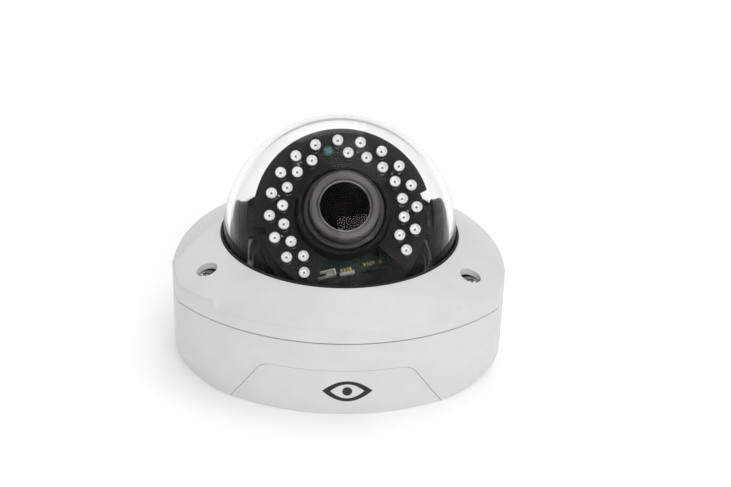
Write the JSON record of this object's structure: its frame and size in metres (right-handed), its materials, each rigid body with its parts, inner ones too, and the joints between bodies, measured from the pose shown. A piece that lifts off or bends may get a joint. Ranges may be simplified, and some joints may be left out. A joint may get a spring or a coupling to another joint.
{
  "type": "dome cctv camera",
  "caption": "Vandal-resistant dome camera: three-sided metal housing, clear dome, pan-tilt-rotate gimbal, ring of infrared lamps and a manual zoom lens.",
  "frame": {"origin": "centre of the flat mounting face under the base, on the dome's axis", "axes": "+Z out of the mounting face through the dome's top, -Y the camera's front (the side with the shallow panel), +X to the right seen from the front"},
  "size_m": [0.1496, 0.1528, 0.1047],
  "materials": {
    "housing_paint": "satin white powder coat",
    "dome_clear": "clear polycarbonate",
    "lens_glass": "coated glass",
    "black_plastic": "satin black",
    "black_metal": "black coated",
    "rubber": "matt black",
    "steel": "polished stainless",
    "brass": "turned",
    "board_black": "black solder mask",
    "board_green": "green solder mask",
    "lens_grey": "dark grey anodised look",
    "cream_plastic": "satin",
    "white_plastic": "low-friction plastic",
    "sensor_teal": "light cell face"
  },
  "bodies": {
    "base": {"base_housing": "housing_paint", "housing_seal": "rubber", "cable_grommet": "rubber", "conduit_plug_seal": "rubber", "conduit_plug": "housing_paint", "terminal_board": "board_green", "power_terminal": "cream_plastic", "service_jack": "black_plastic", "terminal_board_screw_1": "steel", "terminal_board_screw_2": "steel", "gimbal_base": "black_plastic", "gimbal_screw_1": "steel", "gimbal_screw_2": "steel", "gimbal_screw_3": "steel", "pan_friction_ring": "white_plastic", "inner_liner": "black_plastic"},
    "cover": {"top_cover": "housing_paint", "dome_gasket": "rubber", "dome_bubble": "dome_clear", "dome_clamp_ring": "black_metal", "dome_clamp_screw_1": "steel", "dome_clamp_screw_2": "steel", "dome_clamp_screw_3": "steel"},
    "cover_screw_right": {"cover_screw_1": "steel"},
    "cover_screw_rear": {"cover_screw_2": "steel"},
    "cover_screw_left": {"cover_screw_3": "steel"},
    "pan": {"pan_ring": "black_plastic", "pan_lock_screw": "steel", "yoke_arm_left": "black_plastic", "yoke_arm_right": "black_plastic", "tilt_lock_screw_left": "steel", "tilt_lock_screw_right": "steel"},
    "tilt": {"tilt_cradle": "black_metal", "rotation_retainer": "black_plastic", "retainer_screw_1": "steel", "retainer_screw_2": "steel", "retainer_screw_3": "steel", "tilt_pivot_left": "black_plastic", "tilt_pivot_right": "black_plastic"},
    "rotator": {"module_carrier": "black_plastic", "board_standoff_1": "brass", "board_standoff_2": "brass", "board_standoff_3": "brass", "board_standoff_4": "brass", "ir_led_board": "board_black", "light_sensor": "sensor_teal", "foam_shroud": "rubber", "main_board": "board_green", "image_sensor": "black_plastic", "board_connector": "cream_plastic", "lens_mount": "black_plastic", "lens_body": "black_metal", "rear_lens": "lens_glass"},
    "focus": {"focus_ring": "lens_grey"},
    "zoom": {"zoom_ring": "lens_grey", "zoom_lock_screw": "steel"},
    "front_group": {"front_barrel": "lens_grey", "front_lens": "lens_glass"}
  },
  "joints": [
    {"name": "cover_lift", "type": "slide", "parent": "base", "child": "cover", "axis": [0, 0, 1], "range_m": [0, 0.08]},
    {"name": "cover_screw_right_turn", "type": "hinge", "parent": "cover", "child": "cover_screw_right", "pos_m": [0.05759, -0.03325, 0.035], "axis": [0, 0, 1], "continuous": true},
    {"name": "cover_screw_rear_turn", "type": "hinge", "parent": "cover", "child": "cover_screw_rear", "pos_m": [0, 0.0665, 0.035], "axis": [0, 0, 1], "continuous": true},
    {"name": "cover_screw_left_turn", "type": "hinge", "parent": "cover", "child": "cover_screw_left", "pos_m": [-0.05759, -0.03325, 0.035], "axis": [0, 0, 1], "continuous": true},
    {"name": "pan_turn", "type": "hinge", "parent": "base", "child": "pan", "pos_m": [0, 0, 0.04], "axis": [0, 0, 1], "range_deg": [-177, 177]},
    {"name": "tilt_turn", "type": "hinge", "parent": "pan", "child": "tilt", "pos_m": [0, 0, 0.055], "axis": [-0.9968, -0.0802, 0], "range_deg": [-25, 50]},
    {"name": "rotate_turn", "type": "hinge", "parent": "tilt", "child": "rotator", "pos_m": [0, 0, 0.055], "axis": [0.0614, -0.7636, 0.6428], "range_deg": [-177, 177]},
    {"name": "zoom_turn", "type": "hinge", "parent": "rotator", "child": "zoom", "pos_m": [0, 0, 0.055], "axis": [0.0614, -0.7636, 0.6428], "range_deg": [-45, 45]},
    {"name": "focus_turn", "type": "hinge", "parent": "rotator", "child": "focus", "pos_m": [0, 0, 0.055], "axis": [0.0614, -0.7636, 0.6428], "range_deg": [-60, 60]},
    {"name": "front_group_slide", "type": "slide", "parent": "rotator", "child": "front_group", "axis": [0.0614, -0.7636, 0.6428], "range_m": [-0.0011, 0.0011]}
  ],
  "couplings": [
    {"joint": "front_group_slide", "follows": "focus_turn", "m_per_rad": 0.001}
  ]
}
